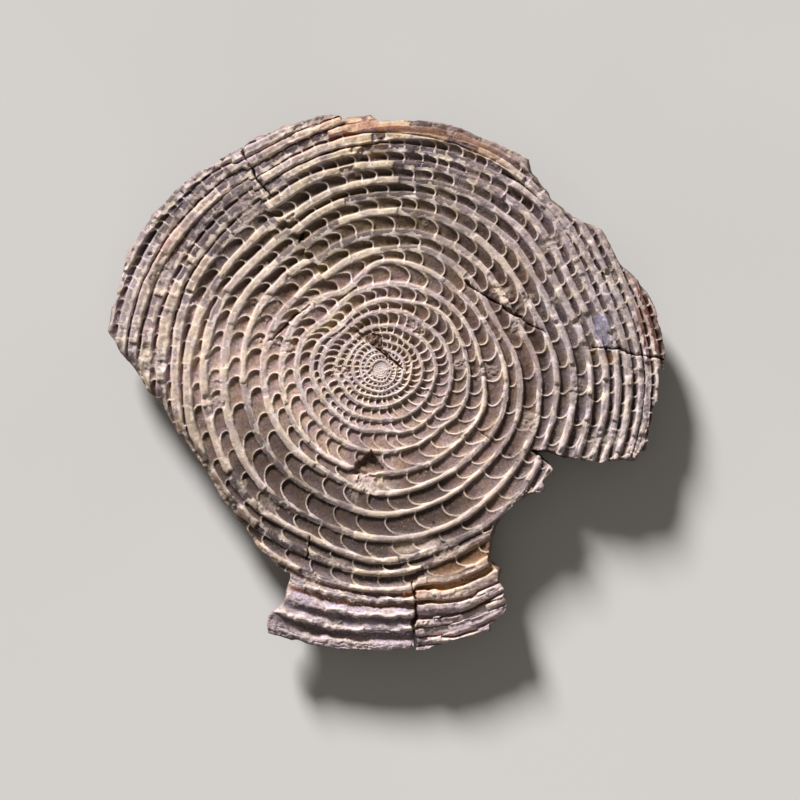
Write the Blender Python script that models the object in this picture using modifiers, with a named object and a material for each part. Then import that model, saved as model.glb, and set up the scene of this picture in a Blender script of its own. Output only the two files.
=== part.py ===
"""One half of a large nummulite, split along its middle plane and lying on its convex back.

The split face shows the spiral wall, wound clockwise in about twenty turns, and the thin
curved septa that divide each whorl into chambers. The rim is broken in several places.

Frame: metres, +Z up. The origin is at the centre of the small rest flat on the back, under
the centre of the spiral. The split face looks up, along +Z.
"""

import math

import bmesh
import bpy
import numpy as np
from mathutils import Vector

MM = 0.001

# --- the whole fossil, in millimetres ---
CENTRE_THICKNESS = 3.6       # from the rest flat to the split face
FACE_RADIUS = 18.0           # where the next two drops are reached
FACE_DROP = 0.5              # the split face is slightly domed
FACE_POWER = 2.2
BACK_RISE = 2.1              # the convex back rises this far by the rim
BACK_POWER = 1.7
REST_RADIUS = 5.0            # flat on the back that the fossil rests on
LENS_RADIUS = 20.5           # beyond the widest point of the broken outline
LENS_RINGS = 6
LENS_STEPS = 48
CUTTER_TOP = 6.0             # cutters reach from above the face ...
CUTTER_BOTTOM = -2.0         # ... to below the back

# --- the lobe between the two big gaps, which curves down at its edge ---
LOBE_ANGLE = 88.0            # degrees, clockwise from +X
LOBE_HALF_ANGLE = 30.0
LOBE_FLAT_SHARE = 0.6        # the drop fades out over the rest of the half angle
LOBE_START = 14.6            # mm from the centre
LOBE_END = 18.5
LOBE_DROP = 0.45

# --- spiral wall: its middle's distance from the centre, mm, every 1/16 turn clockwise ---
# Each row is one turn and goes on in the next row.
STEPS_PER_TURN = 16
WALL = (
    (0.7, 0.7, 0.7, 0.8, 0.8, 0.8, 0.85, 0.9, 1, 1, 1, 1, 1, 1, 1, 1),
    (1, 1.05, 1.1, 1.1, 1.1, 1.15, 1.25, 1.3, 1.3, 1.35, 1.35, 1.35, 1.3, 1.25, 1.35, 1.45),
    (1.45, 1.45, 1.45, 1.4, 1.45, 1.5, 1.6, 1.75, 1.8, 1.85, 1.9, 1.9, 1.8, 1.8, 1.95, 2),
    (2, 1.95, 1.9, 1.8, 1.8, 1.9, 2.1, 2.2, 2.35, 2.25, 2.2, 2.25, 2.35, 2.4, 2.45, 2.6),
    (2.75, 2.65, 2.45, 2.4, 2.45, 2.55, 2.65, 2.75, 2.9, 2.8, 2.7, 2.75, 2.85, 3, 3.2, 3.5),
    (3.55, 3.5, 3.45, 3.4, 3.25, 3.35, 3.5, 3.6, 3.9, 3.75, 3.45, 3.6, 3.75, 4, 4.05, 4.45),
    (4.55, 4.6, 4.45, 4.4, 3.95, 4.15, 4.1, 4.3, 4.5, 4.35, 3.85, 4.15, 4.5, 4.75, 5.35, 5.5),
    (5.65, 5.85, 5.45, 5.4, 5.35, 5.35, 5.3, 5.35, 5.45, 5.4, 4.8, 5.2, 5.5, 5.8, 6.1, 6.35),
    (6.6, 7.1, 6.9, 6.85, 6.75, 6.65, 6.65, 6.55, 6.45, 6.35, 6.15, 5.7, 6.95, 7.1, 7.1, 7.45),
    (8.05, 8.4, 8.1, 8.05, 8.05, 7.6, 7.65, 7.65, 7.65, 7.5, 7.2, 7.3, 7.75, 8.3, 8.2, 8.1),
    (8.95, 9.4, 9.25, 9.35, 9.4, 9.05, 9.1, 9, 8.95, 8.9, 8.6, 8.5, 8.85, 9.25, 9.35, 9.25),
    (10.2, 10.7, 10.85, 11.05, 11, 10.65, 10.8, 10.45, 10.2, 10.15, 9.7, 9.85, 10.25, 10.55, 10.55, 10.6),
    (11.4, 11.7, 12.15, 12.15, 12.45, 11.85, 12, 11.7, 11.5, 11.3, 10.75, 11, 11.3, 11.65, 11.8, 11.7),
    (12.5, 12.8, 12.85, 12.95, 13.3, 12.85, 12.95, 12.85, 12.55, 12.2, 11.85, 11.85, 12.25, 12.65, 12.8, 12.7),
    (13.6, 13.9, 14.1, 14.3, 14.35, 14.05, 13.9, 13.65, 13.35, 13.4, 13.15, 13.15, 13.3, 13.7, 13.9, 13.6),
    (14.6, 14.9, 15.15, 15.4, 15, 14.9, 14.75, 14.55, 14.3, 14.25, 14, 14.1, 14.4, 14.6, 14.9, 14.55),
    (15.4, 15.65, 15.9, 16.25, 16, 15.95, 15.75, 15.55, 15.35, 15.2, 14.95, 14.75, 15.15, 15.6, 15.4, 15.35),
    (16.1, 16.4, 16.65, 16.95, 17, 17.05, 16.75, 16.5, 16.25, 16.05, 15.65, 15.45, 16.05, 16.4, 16.25, 16),
    (16.9, 17.1, 17.3, 17.55, 17.6, 17.7, 17.4, 17.2, 17.05, 16.85, 16.5, 16.1, 16.65, 17.05, 17.05, 16.75),
    (17.4, 17.6, 17.9, 18.35, 18.15, 18.25, 18.2, 18.05, 18, 17.9, 17.4, 16.75, 17.3, 17.7, 17.7, 17.35),
    (18.05, 18.35, 18.6, 19, 18.85, 19, 18.9, 18.8, 18.7, 18.6, 18.15, 17.5, 18, 18.4, 18.4, 18.05),
)
OUTER_PITCH = 0.70           # the spiral goes on past its last row with this distance between turns
FIRST_TURN = 1.0             # inside this the centre is a plain boss
LAST_TURN = 20.0             # the last whorl starts here
WALL_SHARE = 0.30            # wall thickness as a share of the distance between walls
FOOT_SHARE = 0.14            # run of the sloping side of a wall, as the same share
CREST_STEP = 1.7             # mm between crest points on the outer turns
CREST_MIN_POINTS = 24        # crest points in a turn near the centre

# --- chambers: mean length along the whorl in mm, one value a turn from the centre out ---
CHAMBER_LENGTH = (0.30, 0.30, 0.35, 0.40, 0.60, 0.85, 1.10, 1.20, 1.35, 1.55,
                  1.70, 1.30, 1.50, 1.60, 1.25, 1.05, 1.00, 1.00, 0.90, 0.85, 0.85)
CHAMBER_VARIATION = 0.25
CHAMBER_SEED = 7
FLOOR_DEPTH = 0.38           # deepest chamber floor below the wall crest
DEPTH_PER_WIDTH = 0.42       # narrow whorls are shallower
SEPTUM_DROP = 0.06           # septa stand this far below the crest
SEPTUM_LAG = 0.7             # how far a septum leans back across its whorl, in whorl widths
SEPTA_FROM_TURN = 3.0
SEPTA_TO_TURN = 15.0         # the narrow outer whorls keep only their walls
PLAIN_STEP = 1.7             # mm between floor points where there are no septa

# --- broken outline: (degrees clockwise from +X, mm from the centre) ---
OUTLINE = (
    (0, 18.40), (6, 18.40), (7, 18.00), (17, 18.00), (17.3, 17.70), (19.5, 17.55),
    # right-hand gap
    (20.5, 16.75), (23, 15.35), (24.5, 13.90), (26, 11.95), (28.3, 11.05), (28.9, 12.20),
    (30, 12.85), (34.5, 12.80), (36.5, 13.15), (39.5, 12.60), (43, 12.40), (45.6, 12.30),
    (50, 12.35), (53.7, 12.60), (57, 13.25), (60, 14.05), (60.6, 14.30), (59.4, 15.20),
    # lower lobe
    (61, 15.75), (61, 16.40), (62, 16.75), (61.7, 17.15), (63.4, 17.80), (67, 17.95),
    (67.5, 18.45), (82.5, 18.55), (83.5, 17.90), (84.4, 18.20), (90, 18.35), (97.5, 18.45),
    (105, 18.50), (113, 18.60), (114, 18.05), (114.4, 17.55), (113, 16.65), (112.7, 15.75),
    # left-hand gap
    (113.5, 14.45), (117.5, 14.35), (123, 14.15), (126, 13.90), (132.5, 13.55), (142, 13.20),
    (151, 13.10), (161, 13.60), (170.6, 14.50), (175, 15.30), (180, 16.00), (182, 16.40),
    (183.7, 17.05), (188, 17.95),
    # left and upper rim
    (195, 17.90), (205.6, 18.10), (214, 17.90), (221, 17.70), (227.5, 17.40), (231, 17.15),
    (241, 17.10), (246, 17.05), (255, 16.95), (260.6, 16.75), (261, 16.45), (267.5, 16.60),
    (269.4, 16.20), (280, 16.40), (286, 16.50), (297.5, 16.60), (305, 16.70), (307.5, 16.10),
    (312.5, 15.85), (315, 15.65), (321, 15.85), (324.4, 16.40), (327.7, 16.95), (335, 16.90),
    (339, 17.40), (341, 17.80), (347, 18.30), (355, 18.45),
)

# --- open cracks: (x, y) of the route in mm, greatest width in mm ---
CRACK_DEPTH = 0.9
CRACKS = (
    (((5.4, 5.7), (6.9, 4.7), (8.5, 3.7), (9.4, 3.3)), 0.28),
    (((-9.0, 14.5), (-8.1, 12.7), (-7.0, 11.0)), 0.26),
    (((14.0, 1.7), (15.4, 1.25), (17.1, 0.8), (18.9, 0.5)), 0.18),
    (((2.1, -14.4), (2.25, -16.4), (2.3, -19.0)), 0.20),
    (((-4.6, -11.0), (-4.75, -12.4)), 0.24),
)

# --- three-cornered pit below the centre: corners in mm, the first is its apex ---
PIT = ((-0.64, -5.35), (-1.65, -6.55), (-0.7, -6.75), (0.2, -6.55))
PIT_DEPTH = 0.75


RADII = [radius for row in WALL for radius in row] + [radius + OUTER_PITCH for radius in WALL[-1]] * 2


def polar(degrees, radius):
    """Point in the plane, the angle measured clockwise as seen from above."""
    angle = math.radians(degrees)
    return radius * math.cos(angle), -radius * math.sin(angle)


def wall_radius(turn):
    """Radius of the spiral wall after so many turns: a Catmull-Rom curve through WALL."""
    place = turn * STEPS_PER_TURN
    index = int(place)
    t = place - index
    before, here, after, beyond = (RADII[max(index + k, 0)] for k in (-1, 0, 1, 2))
    slope_in = (after - before) / 2
    slope_out = (beyond - here) / 2
    bend = 2 * (here - after) + slope_in + slope_out
    return float(here + slope_in * t + (3 * (after - here) - 2 * slope_in - slope_out) * t**2 + bend * t**3)


def smooth_step(low, high, value):
    t = min(max((value - low) / (high - low), 0.0), 1.0)
    return t * t * (3 - 2 * t)


def face_height(degrees, radius):
    """Height of the split face's wall crests, before any chamber is sunk into it."""
    height = CENTRE_THICKNESS - FACE_DROP * (radius / FACE_RADIUS) ** FACE_POWER
    off_lobe = abs((degrees - LOBE_ANGLE + 180) % 360 - 180)
    on_lobe = 1 - smooth_step(LOBE_HALF_ANGLE * LOBE_FLAT_SHARE, LOBE_HALF_ANGLE, off_lobe)
    return height - LOBE_DROP * on_lobe * smooth_step(LOBE_START, LOBE_END, radius)


def back_height(radius):
    """Height of the convex back, which curves up from the edge of the rest flat."""
    run = max(radius - REST_RADIUS, 0.0)
    return BACK_RISE * (run / (FACE_RADIUS - REST_RADIUS)) ** BACK_POWER


def whorl_width(turn):
    return wall_radius(turn + 1) - wall_radius(turn)


def wall_half(turn):
    """Half of the wall's thickness, from the mean width of the whorls on its two sides."""
    return WALL_SHARE / 2 * (wall_radius(turn + 1) - wall_radius(turn - 1)) / 2


def septum_turns():
    """Where the septa stand on their inner wall, in turns from the centre."""
    rng = np.random.default_rng(CHAMBER_SEED)
    places = []
    turn = FIRST_TURN
    while turn < LAST_TURN:
        length = np.interp(turn, range(len(CHAMBER_LENGTH)), CHAMBER_LENGTH)
        length *= 1 + CHAMBER_VARIATION * rng.uniform(-1, 1)
        turn += length / (2 * math.pi * wall_radius(turn + 0.5))
        places.append(turn)
    return places


def floor_columns():
    """(turn, is it a septum) of each line of floor points across a whorl."""
    septa = [turn for turn in septum_turns() if SEPTA_FROM_TURN < turn < SEPTA_TO_TURN]
    columns = []
    turn = FIRST_TURN
    while turn < septa[0]:
        columns.append((turn, False))
        turn += 1 / CREST_MIN_POINTS
    for here, following in zip(septa, septa[1:]):
        columns.append((here, True))
        columns.append(((here + following) / 2, False))
    turn = septa[-1]
    while turn < LAST_TURN:
        columns.append((turn, False))
        turn += PLAIN_STEP / (2 * math.pi * wall_radius(turn))
    columns.append((LAST_TURN, False))
    return columns


def crest_turns():
    """Turns at which the wall crest has points, always with whole turns among them."""
    places = []
    for whorl in range(int(FIRST_TURN), int(LAST_TURN) + 1):
        points = max(CREST_MIN_POINTS, math.ceil(2 * math.pi * wall_radius(whorl + 0.5) / CREST_STEP))
        places += [whorl + k / points for k in range(points)]
    return places + [LAST_TURN + 1]


def spiral_vertex(bm, turn, radius, sink=0.0):
    degrees = turn % 1.0 * 360
    x, y = polar(degrees, radius)
    return bm.verts.new((x * MM, y * MM, (face_height(degrees, radius) - sink) * MM))


def zip_rows(bm, inner, outer):
    """Fill the strip between two rows of (turn, vertex) with triangles, in step with the turns."""
    i = j = 0
    while i < len(inner) - 1 or j < len(outer) - 1:
        step_inner = j == len(outer) - 1 or (i < len(inner) - 1 and inner[i + 1][0] <= outer[j + 1][0])
        if step_inner:
            bm.faces.new((inner[i][1], inner[i + 1][1], outer[j][1]))
            i += 1
        else:
            bm.faces.new((inner[i][1], outer[j + 1][1], outer[j][1]))
            j += 1


def part_of_row(row, start, end, shift=0.0):
    margin = 1e-6
    return [(turn + shift, vertex) for turn, vertex in row if start - margin <= turn <= end + margin]


def floor_rows(bm):
    """The two rows of floor points: at the inner wall's foot and at the outer wall's foot."""
    near_row = []
    far_row = []
    for turn, is_septum in floor_columns():
        width = whorl_width(turn)
        run = FOOT_SHARE * width
        depth = min(FLOOR_DEPTH, DEPTH_PER_WIDTH * width)
        sink = SEPTUM_DROP if is_septum else depth
        lag = SEPTUM_LAG * width / (2 * math.pi * wall_radius(turn + 0.5))
        far_turn = turn if turn in (FIRST_TURN, LAST_TURN) else max(turn - lag, (turn + FIRST_TURN) / 2)
        near_radius = wall_radius(turn) + wall_half(turn) + run
        far_radius = wall_radius(far_turn + 1) - wall_half(far_turn + 1) - run
        near_row.append((turn, spiral_vertex(bm, turn, near_radius, sink)))
        far_row.append((far_turn, spiral_vertex(bm, far_turn, far_radius, sink)))
    return near_row, far_row


def relief_mesh():
    """Block whose top is the split face: spiral wall, septa and sunk chamber floors."""
    bm = bmesh.new()
    crest_in = []
    crest_out = []
    for turn in crest_turns():
        crest_in.append((turn, spiral_vertex(bm, turn, wall_radius(turn) - wall_half(turn))))
        crest_out.append((turn, spiral_vertex(bm, turn, wall_radius(turn) + wall_half(turn))))
    near_row, far_row = floor_rows(bm)

    zip_rows(bm, crest_in, crest_out)
    zip_rows(bm, part_of_row(crest_out, FIRST_TURN, LAST_TURN), near_row)
    for column in range(len(near_row) - 1):
        bm.faces.new((near_row[column][1], near_row[column + 1][1],
                      far_row[column + 1][1], far_row[column][1]))
    zip_rows(bm, far_row, part_of_row(crest_in, FIRST_TURN + 1, LAST_TURN + 1, shift=-1.0))

    boss = [vertex for _, vertex in part_of_row(crest_in, FIRST_TURN, FIRST_TURN + 1)]
    boss += [far_row[0][1], near_row[0][1], crest_out[0][1]]
    bm.faces.new(boss)

    skirt = bmesh.ops.extrude_edge_only(bm, edges=[edge for edge in bm.edges if edge.is_boundary])
    for element in skirt["geom"]:
        if isinstance(element, bmesh.types.BMVert):
            element.co.z = -MM
    bmesh.ops.contextual_create(bm, geom=[edge for edge in bm.edges if edge.is_boundary])
    bmesh.ops.triangulate(bm, faces=bm.faces, quad_method="SHORT_EDGE")
    bmesh.ops.recalc_face_normals(bm, faces=bm.faces)
    mesh = bpy.data.meshes.new("nummulite_half")
    bm.to_mesh(mesh)
    bm.free()
    return mesh


def new_collection(name):
    collection = bpy.data.collections.new(name)
    bpy.context.scene.collection.children.link(collection)
    return collection


def as_cutter(obj, collection):
    obj.hide_render = True
    obj.display_type = "WIRE"
    collection.objects.link(obj)
    return obj


def lens_cutter(collection):
    """The body that keeps the convex back and its rest flat: a profile turned about +Z."""
    profile = [(0.0, CUTTER_TOP), (LENS_RADIUS, CUTTER_TOP)]
    for ring in range(LENS_RINGS, -1, -1):
        radius = REST_RADIUS + (LENS_RADIUS - REST_RADIUS) * ring / LENS_RINGS
        profile.append((radius, back_height(radius)))
    profile.append((0.0, 0.0))
    mesh = bpy.data.meshes.new("lens")
    mesh.from_pydata([(r * MM, 0, z * MM) for r, z in profile],
                     [(k, k + 1) for k in range(len(profile) - 1)], [])
    lens = bpy.data.objects.new("lens", mesh)
    screw = lens.modifiers.new("turned", "SCREW")
    screw.steps = LENS_STEPS
    screw.render_steps = LENS_STEPS
    screw.use_merge_vertices = True
    screw.merge_threshold = 0.00001
    return as_cutter(lens, collection)


def prism_cutter(name, points, bottom, top, collection):
    """A flat outline extruded upwards from bottom to top, as a closed mesh."""
    curve = bpy.data.curves.new(name, "CURVE")
    curve.dimensions = "2D"
    curve.fill_mode = "BOTH"
    curve.extrude = (top - bottom) / 2 * MM
    spline = curve.splines.new("POLY")
    spline.points.add(len(points) - 1)
    for point, (x, y) in zip(spline.points, points):
        point.co = (x * MM, y * MM, 0, 1)
    spline.use_cyclic_u = True
    outline = bpy.data.objects.new(name, curve)
    outline.location.z = (top + bottom) / 2 * MM
    collection.objects.link(outline)
    bpy.context.view_layer.update()

    evaluated = outline.evaluated_get(bpy.context.evaluated_depsgraph_get())
    mesh = bpy.data.meshes.new_from_object(evaluated)
    bm = bmesh.new()
    bm.from_mesh(mesh)
    bmesh.ops.remove_doubles(bm, verts=bm.verts, dist=0.000001)
    bmesh.ops.recalc_face_normals(bm, faces=bm.faces)
    bm.to_mesh(mesh)
    bm.free()
    prism = bpy.data.objects.new(name + "_prism", mesh)
    prism.matrix_world = outline.matrix_world.copy()
    bpy.data.objects.remove(outline)
    return as_cutter(prism, collection)


def crack_outline(route, width):
    """A sliver that is widest in the middle of the route and closes at both its ends."""
    points = [Vector(point) for point in route]
    last = len(points) - 1
    left = []
    right = []
    for k in range(1, last):
        along = (points[k + 1] - points[k - 1]).normalized()
        across = Vector((-along.y, along.x)) * width / 2
        left.append(points[k] + across)
        right.append(points[k] - across)
    if not left:
        middle = (points[0] + points[1]) / 2
        along = (points[1] - points[0]).normalized()
        across = Vector((-along.y, along.x)) * width / 2
        left.append(middle + across)
        right.append(middle - across)
    return [points[0][:]] + [p[:] for p in left] + [points[last][:]] + [p[:] for p in reversed(right)]


def add_boolean(obj, cutter, operation):
    modifier = obj.modifiers.new(cutter.name, "BOOLEAN")
    modifier.operation = operation
    modifier.object = cutter
    modifier.solver = "EXACT"


def fossil_material():
    material = bpy.data.materials.new("fossil_limestone")
    material.use_nodes = True
    shader = material.node_tree.nodes["Principled BSDF"]
    shader.inputs["Base Color"].default_value = (0.42, 0.34, 0.27, 1.0)
    shader.inputs["Roughness"].default_value = 0.8
    shader.inputs["Metallic"].default_value = 0.0
    return material


def build():
    for old in list(bpy.data.objects):
        bpy.data.objects.remove(old)
    parts = new_collection("nummulite_fossil")
    cutters = new_collection("cutters")

    half = bpy.data.objects.new("nummulite_half", relief_mesh())
    half.data.materials.append(fossil_material())
    parts.objects.link(half)

    add_boolean(half, lens_cutter(cutters), "INTERSECT")
    rim = prism_cutter("rim", [polar(*point) for point in OUTLINE], CUTTER_BOTTOM, CUTTER_TOP + 1, cutters)
    add_boolean(half, rim, "INTERSECT")
    for number, (route, width) in enumerate(CRACKS):
        middle_x, middle_y = route[len(route) // 2]
        bottom = face_height(0, math.hypot(middle_x, middle_y)) - CRACK_DEPTH
        sliver = prism_cutter(f"crack_{number}", crack_outline(route, width), bottom, CUTTER_TOP, cutters)
        add_boolean(half, sliver, "DIFFERENCE")
    pit_bottom = face_height(0, math.hypot(*PIT[0])) - PIT_DEPTH
    add_boolean(half, prism_cutter("pit", PIT, pit_bottom, CUTTER_TOP, cutters), "DIFFERENCE")


build()
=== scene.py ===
"""The look of the nummulite half: one sculpted mesh in place of the faceted solid.

The split face is a height map in whorl coordinates (turns along the spiral wall, share of the way
out to the next wall). It is cut to the broken outline and to the convex back, then thinned out.
"""

import math

import bmesh
import bpy
import numpy as np
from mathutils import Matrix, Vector


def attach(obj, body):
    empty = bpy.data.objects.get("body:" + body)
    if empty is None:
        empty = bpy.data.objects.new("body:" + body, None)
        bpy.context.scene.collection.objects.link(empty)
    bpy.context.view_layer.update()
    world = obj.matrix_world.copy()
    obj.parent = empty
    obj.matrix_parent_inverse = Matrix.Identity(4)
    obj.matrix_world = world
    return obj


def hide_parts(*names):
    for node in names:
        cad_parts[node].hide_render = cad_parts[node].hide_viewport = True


MM = 0.001
TAU = 2 * math.pi
NODE = "nummulite_half"

# ---- the fossil's dimensions, mm
CENTRE_THICKNESS = 3.6
FACE_RADIUS = 18.0
FACE_DROP = 0.5
FACE_POWER = 2.2
BACK_RISE = 2.1
BACK_POWER = 1.7
REST_RADIUS = 5.0
LOBE_ANGLE = 88.0
LOBE_HALF_ANGLE = 30.0
LOBE_START = 14.6
LOBE_END = 18.5
LOBE_DROP = 0.45

# spiral wall: its middle's distance from the centre every 1/16 turn clockwise, one row a turn
WALL = (
    (0.7, 0.7, 0.7, 0.8, 0.8, 0.8, 0.85, 0.9, 1, 1, 1, 1, 1, 1, 1, 1),
    (1, 1.05, 1.1, 1.1, 1.1, 1.15, 1.25, 1.3, 1.3, 1.35, 1.35, 1.35, 1.3, 1.25, 1.35, 1.45),
    (1.45, 1.45, 1.45, 1.4, 1.45, 1.5, 1.6, 1.75, 1.8, 1.85, 1.9, 1.9, 1.8, 1.8, 1.95, 2),
    (2, 1.95, 1.9, 1.8, 1.8, 1.9, 2.1, 2.2, 2.35, 2.25, 2.2, 2.25, 2.35, 2.4, 2.45, 2.6),
    (2.75, 2.65, 2.45, 2.4, 2.45, 2.55, 2.65, 2.75, 2.9, 2.8, 2.7, 2.75, 2.85, 3, 3.2, 3.5),
    (3.55, 3.5, 3.45, 3.4, 3.25, 3.35, 3.5, 3.6, 3.9, 3.75, 3.45, 3.6, 3.75, 4, 4.05, 4.45),
    (4.55, 4.6, 4.45, 4.4, 3.95, 4.15, 4.1, 4.3, 4.5, 4.35, 3.85, 4.15, 4.5, 4.75, 5.35, 5.5),
    (5.65, 5.85, 5.45, 5.4, 5.35, 5.35, 5.3, 5.35, 5.45, 5.4, 4.8, 5.2, 5.5, 5.8, 6.1, 6.35),
    (6.6, 7.1, 6.9, 6.85, 6.75, 6.65, 6.65, 6.55, 6.45, 6.35, 6.15, 5.7, 6.95, 7.1, 7.1, 7.45),
    (8.05, 8.4, 8.1, 8.05, 8.05, 7.6, 7.65, 7.65, 7.65, 7.5, 7.2, 7.3, 7.75, 8.3, 8.2, 8.1),
    (8.95, 9.4, 9.25, 9.35, 9.4, 9.05, 9.1, 9, 8.95, 8.9, 8.6, 8.5, 8.85, 9.25, 9.35, 9.25),
    (10.2, 10.7, 10.85, 11.05, 11, 10.65, 10.8, 10.45, 10.2, 10.15, 9.7, 9.85, 10.25, 10.55, 10.55, 10.6),
    (11.4, 11.7, 12.15, 12.15, 12.45, 11.85, 12, 11.7, 11.5, 11.3, 10.75, 11, 11.3, 11.65, 11.8, 11.7),
    (12.5, 12.8, 12.85, 12.95, 13.3, 12.85, 12.95, 12.85, 12.55, 12.2, 11.85, 11.85, 12.25, 12.65,
     12.8, 12.7),
    (13.6, 13.9, 14.1, 14.3, 14.35, 14.05, 13.9, 13.65, 13.35, 13.4, 13.15, 13.15, 13.3, 13.7, 13.9, 13.6),
    (14.6, 14.9, 15.15, 15.4, 15, 14.9, 14.75, 14.55, 14.3, 14.25, 14, 14.1, 14.4, 14.6, 14.9, 14.55),
    (15.4, 15.65, 15.9, 16.25, 16, 15.95, 15.75, 15.55, 15.35, 15.2, 14.95, 14.75, 15.15, 15.6, 15.4,
     15.35),
    (16.1, 16.4, 16.65, 16.95, 17, 17.05, 16.75, 16.5, 16.25, 16.05, 15.65, 15.45, 16.05, 16.4, 16.25, 16),
    (16.9, 17.1, 17.3, 17.55, 17.6, 17.7, 17.4, 17.2, 17.05, 16.85, 16.5, 16.1, 16.65, 17.05, 17.05, 16.75),
    (17.4, 17.6, 17.9, 18.35, 18.15, 18.25, 18.2, 18.05, 18, 17.9, 17.4, 16.75, 17.3, 17.7, 17.7, 17.35),
    (18.05, 18.35, 18.6, 19, 18.85, 19, 18.9, 18.8, 18.7, 18.6, 18.15, 17.5, 18, 18.4, 18.4, 18.05),
)
OUTER_PITCH = 0.7
TURNS = len(WALL)
CHAMBER_LENGTH = (0.23, 0.28, 0.34, 0.42, 0.52, 0.6, 0.75, 0.98, 1.2, 1.4,
                  1.7, 1.3, 1.5, 1.6, 1.25, 1.05, 1.0, 1.0, 0.9, 0.85, 0.85)
CHAMBER_VARIATION = 0.25
CHAMBER_SEED = 7

OUTLINE = (
    (0, 18.4), (6, 18.4), (7, 18.0), (17, 18.0), (17.3, 17.7), (19.5, 17.55), (20.5, 16.75),
    (23, 15.35), (24.5, 13.9), (26, 11.95), (28.3, 11.05), (28.9, 12.2), (30, 12.85), (34.5, 12.8),
    (36.5, 13.15), (39.5, 12.6), (43, 12.4), (45.6, 12.3), (50, 12.35), (53.7, 12.6), (57, 13.25),
    (60, 14.05), (60.6, 14.3), (59.4, 15.2), (61, 15.75), (61, 16.4), (62, 16.75), (61.7, 17.15),
    (63.4, 17.8), (67, 17.95), (67.5, 18.45), (82.5, 18.55), (83.5, 17.9), (84.4, 18.2), (90, 18.35),
    (97.5, 18.45), (105, 18.5), (113, 18.6), (114, 18.05), (114.4, 17.55), (113, 16.65),
    (112.7, 15.75), (113.5, 14.45), (117.5, 14.35), (123, 14.15), (126, 13.9), (132.5, 13.55),
    (142, 13.2), (151, 13.1), (161, 13.6), (170.6, 14.5), (175, 15.3), (180, 16.0), (182, 16.4),
    (183.7, 17.05), (188, 17.95), (195, 17.9), (205.6, 18.1), (214, 17.9), (221, 17.7),
    (227.5, 17.4), (231, 17.15), (241, 17.1), (246, 17.05), (255, 16.95), (260.6, 16.75), (261, 16.45),
    (267.5, 16.6), (269.4, 16.2), (280, 16.4), (286, 16.5), (297.5, 16.6), (305, 16.7),
    (307.5, 16.1), (312.5, 15.85), (315, 15.65), (321, 15.85), (324.4, 16.4), (327.7, 16.95),
    (335, 16.9), (339, 17.4), (341, 17.8), (347, 18.3), (355, 18.45),
)

# ---- sculpting, mm
INNER_ROW = (0.5, 0.5, 0.51, 0.52, 0.53, 0.54, 0.55, 0.57, 0.58, 0.6, 0.61, 0.63, 0.64, 0.66, 0.67, 0.69)
FINE_STEPS = 90              # wall points worked out in each measured step
POINTS_PER_TURN = 16 * FINE_STEPS
NOISE_CELLS = 256            # noise repeats after so many cells
STONE_CELLS = 64             # and broken stone after so many
SPOKES = 1800                # face points in one turn
ACROSS = 20                  # face points from one wall to the next
TILT = 0.13                  # how far each whorl lies below its inner wall
SCOOP = 0.21                 # how much deeper a chamber is
SEPTUM_HALF = 0.038          # half a septum's thickness
BEND_AT = 0.3               # share of the whorl where a septum reaches furthest forward
INNER_LAG = 0.15             # how far its ends lag behind, in chamber heights
OUTER_LAG = 1.25
WALL_THICKNESS = (0.14, 0.16, 0.18, 0.2, 0.21, 0.23, 0.25, 0.28, 0.3, 0.33, 0.36, 0.39, 0.41, 0.42,
                  0.43, 0.44, 0.45, 0.45, 0.45, 0.44, 0.44, 0.44, 0.44)
CENTRE_RINGS = (0.94, 0.88, 0.81, 0.74, 0.67, 0.6, 0.53, 0.46, 0.39, 0.32, 0.25, 0.18, 0.11, 0.05)
BLOCK_BOTTOM = -1.0
LID_HEIGHT = 6.0
RIM_STEP = 0.12              # distance between the rim's points
BACK_SPOKES = 560
BACK_RIDGES = 52             # faint ridges round the back
BAR_LENGTH = 1.15            # pieces of the thick bars right of the lower crack
BAR_WIDTH = 0.62
BAR_SLOPE = 0.32
TRIANGLE_LIMIT = 194000

# lines along which the fossil has broken: route in mm, width, depth
CRACKS = (
    (((5.45, 5.8), (5.85, 5.5), (6.35, 5.1)), 0.22, 0.65),
    (((6.0, 5.35), (6.9, 4.7), (8.2, 3.98)), 0.1, 0.45),
    (((7.95, 4.15), (8.5, 3.75), (9.2, 3.35)), 0.21, 0.65),
    (((8.9, 3.5), (9.7, 3.0), (10.8, 2.4)), 0.09, 0.4),
    (((-9.05, 14.6), (-8.75, 13.6), (-8.1, 12.6), (-7.15, 11.3)), 0.17, 0.65),
    (((13.7, 1.46), (15.5, 1.4), (16.3, 1.05), (17.4, 0.85), (18.9, 0.62)), 0.085, 0.5),
    (((2.05, -13.9), (2.3, -15.0), (2.15, -16.4), (2.3, -19.0)), 0.17, 0.7),
    (((-4.55, -10.9), (-4.7, -11.7), (-4.85, -12.4)), 0.17, 0.5),
    (((-7.2, 1.85), (-6.4, 2.7), (-5.45, 3.6), (-4.5, 4.2)), 0.12, 0.35),
    (((-5.35, 8.2), (-5.05, 8.9)), 0.16, 0.5),
    (((-0.3, 1.42), (0.5, 0.8), (1.4, 0.06)), 0.1, 0.4),
)
PIT = ((-0.62, -5.3), (-2.05, -6.6), (-1.0, -6.9), (0.25, -6.6))
PIT_DEPTH = 0.38
FAULT_START = (-1.62, 2.42)
FAULT_END = (1.62, -0.18)
# breadth of the hollow beside the break, by distance along it
TRENCH = ((0, 0), (0.55, 0.5), (1.0, 0.85), (1.4, 0.95), (1.65, 0.75), (1.85, 0.42), (2.1, 0.3),
          (2.5, 0.28), (2.9, 0.16), (3.7, 0.1), (4.2, 0))
DISC_RADIUS = 0.56           # plain disc at the centre
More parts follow.
